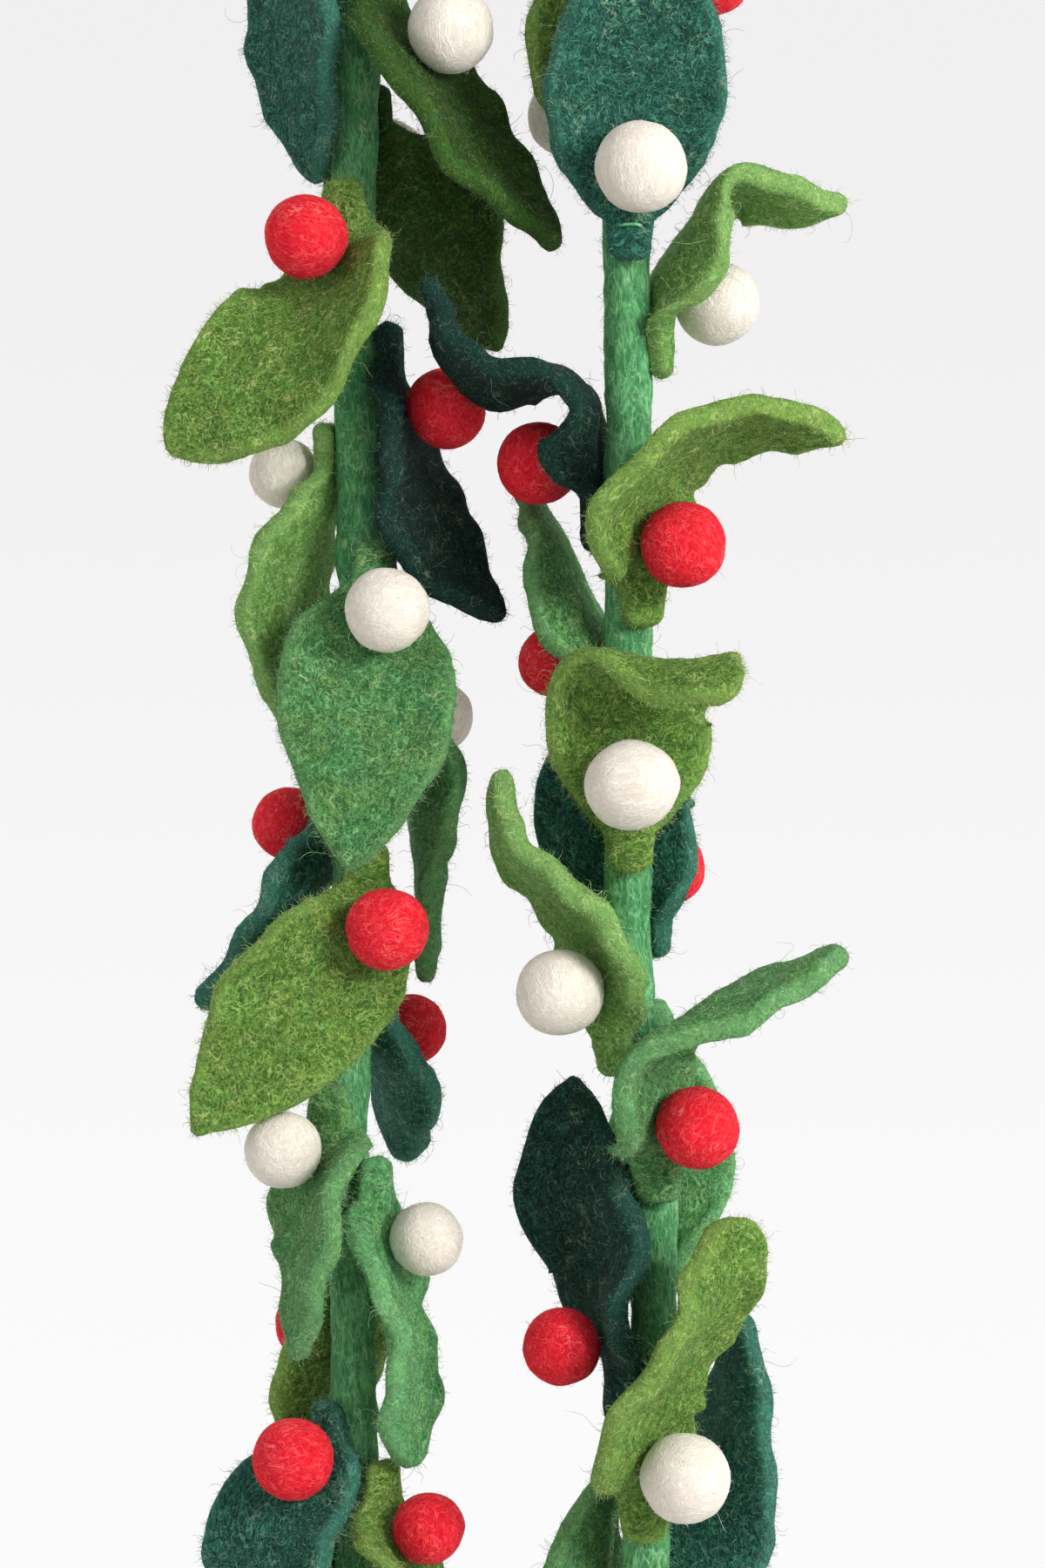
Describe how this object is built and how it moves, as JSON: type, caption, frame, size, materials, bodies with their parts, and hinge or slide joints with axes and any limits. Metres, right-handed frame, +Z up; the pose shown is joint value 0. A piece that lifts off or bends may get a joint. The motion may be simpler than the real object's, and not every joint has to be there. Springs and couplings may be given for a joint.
{
  "type": "felt ball garland",
  "caption": "Felt garland of pointed leaves in shades of green, each with a red or off-white felt ball, sewn along a green felt rope and hung double over a peg.",
  "frame": {"origin": "underside of the rope's bend at its top, where the peg that carries the garland touches it", "axes": "+Z up along the hanging legs, +X to the right as seen from the front, +Y to the back; the front is seen from -Y"},
  "size_m": [0.155, 0.0935, 0.5254],
  "materials": {
    "felt_rope": "matt wool felt",
    "felt_lime": "matt wool felt",
    "felt_green": "matt wool felt",
    "felt_teal": "matt wool felt",
    "felt_red": "matt wool felt",
    "felt_white": "matt wool felt"
  },
  "bodies": {
    "root": {"ball_02": "felt_white", "ball_03": "felt_white", "ball_04": "felt_red", "ball_06": "felt_red", "ball_07": "felt_white", "ball_09": "felt_white", "ball_10": "felt_red", "ball_11": "felt_red", "ball_12": "felt_red", "ball_13": "felt_white", "ball_14": "felt_white", "ball_20": "felt_white", "ball_22": "felt_red", "ball_23": "felt_red", "ball_24": "felt_white", "ball_25": "felt_white", "ball_27": "felt_red", "ball_28": "felt_red", "ball_29": "felt_red", "ball_30": "felt_white", "ball_31": "felt_white", "ball_33": "felt_red", "ball_34": "felt_red", "leaf_01": "felt_green", "leaf_02": "felt_teal", "leaf_03": "felt_lime", "leaf_04": "felt_teal", "leaf_05": "felt_green", "leaf_06": "felt_green", "leaf_07": "felt_lime", "leaf_08": "felt_teal", "leaf_09": "felt_lime", "leaf_10": "felt_green", "leaf_11": "felt_lime", "leaf_12": "felt_teal", "leaf_13": "felt_lime", "leaf_14": "felt_teal", "leaf_15": "felt_lime", "leaf_16": "felt_green", "leaf_17": "felt_teal", "leaf_18": "felt_lime", "leaf_19": "felt_teal", "leaf_20": "felt_green", "leaf_21": "felt_green", "leaf_22": "felt_lime", "leaf_23": "felt_teal", "leaf_24": "felt_lime", "leaf_25": "felt_green", "leaf_26": "felt_green", "leaf_27": "felt_teal", "leaf_28": "felt_lime", "leaf_29": "felt_teal", "leaf_30": "felt_green", "leaf_31": "felt_green", "leaf_32": "felt_lime", "leaf_33": "felt_teal", "leaf_34": "felt_lime", "leaf_35": "felt_green", "leaf_36": "felt_teal", "rope": "felt_rope"}
  },
  "joints": []
}
